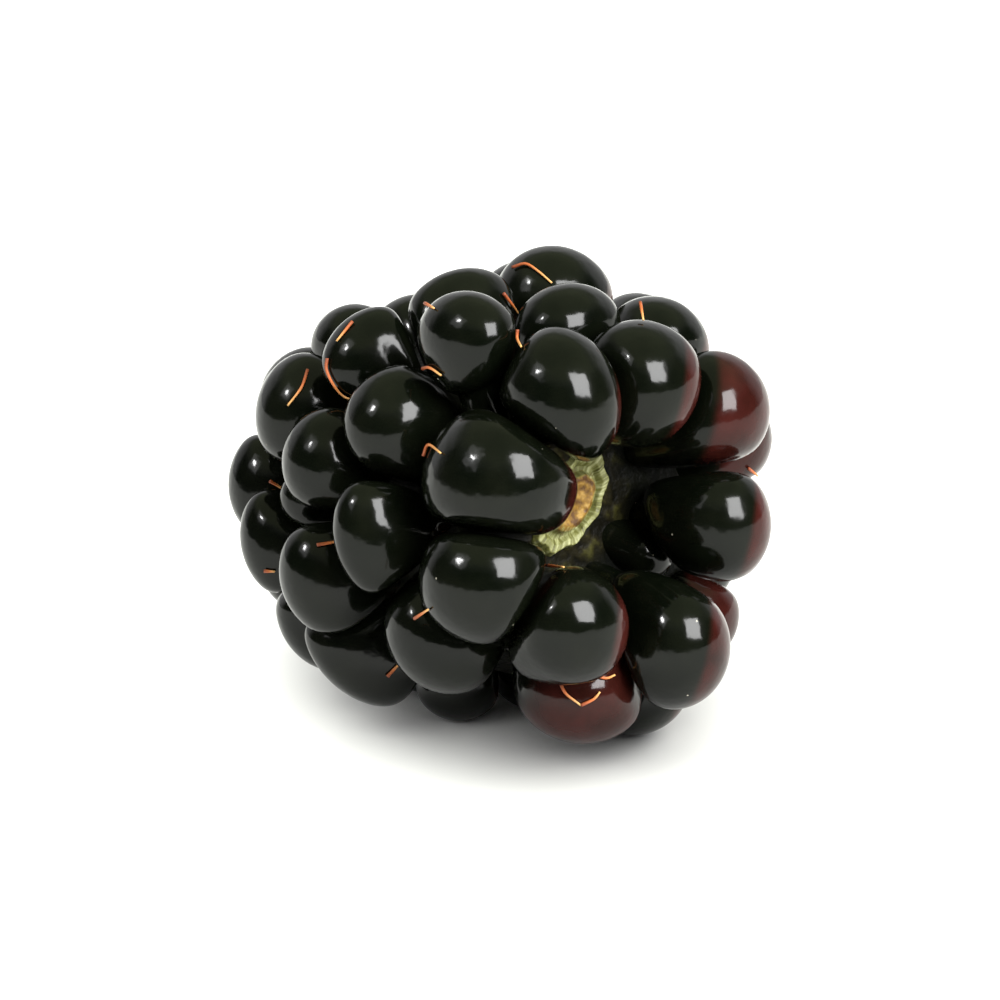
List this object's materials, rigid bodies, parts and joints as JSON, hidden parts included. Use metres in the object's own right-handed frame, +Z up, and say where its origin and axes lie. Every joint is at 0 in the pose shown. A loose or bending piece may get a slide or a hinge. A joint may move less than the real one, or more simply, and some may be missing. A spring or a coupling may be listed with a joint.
{
  "type": "bramble berry",
  "caption": "Ripe bramble berry lying on its side: glossy drupelets packed round a core, with the pale receptacle and stem scar in a hollow at one end.",
  "frame": {"origin": "middle of the berry's footprint on the surface that it lies on", "axes": "+Z up, +X along the berry toward its stem end, seen from above, +Y across it"},
  "size_m": [0.0278, 0.0226, 0.0201],
  "materials": {
    "drupelet_skin": "wet-looking, near-black skin with a wine-red cast",
    "receptacle_flesh": "soft, pale yellow-green flesh with a brown scar"
  },
  "bodies": {
    "root": {"drupelets": "drupelet_skin", "receptacle": "receptacle_flesh"}
  },
  "joints": []
}
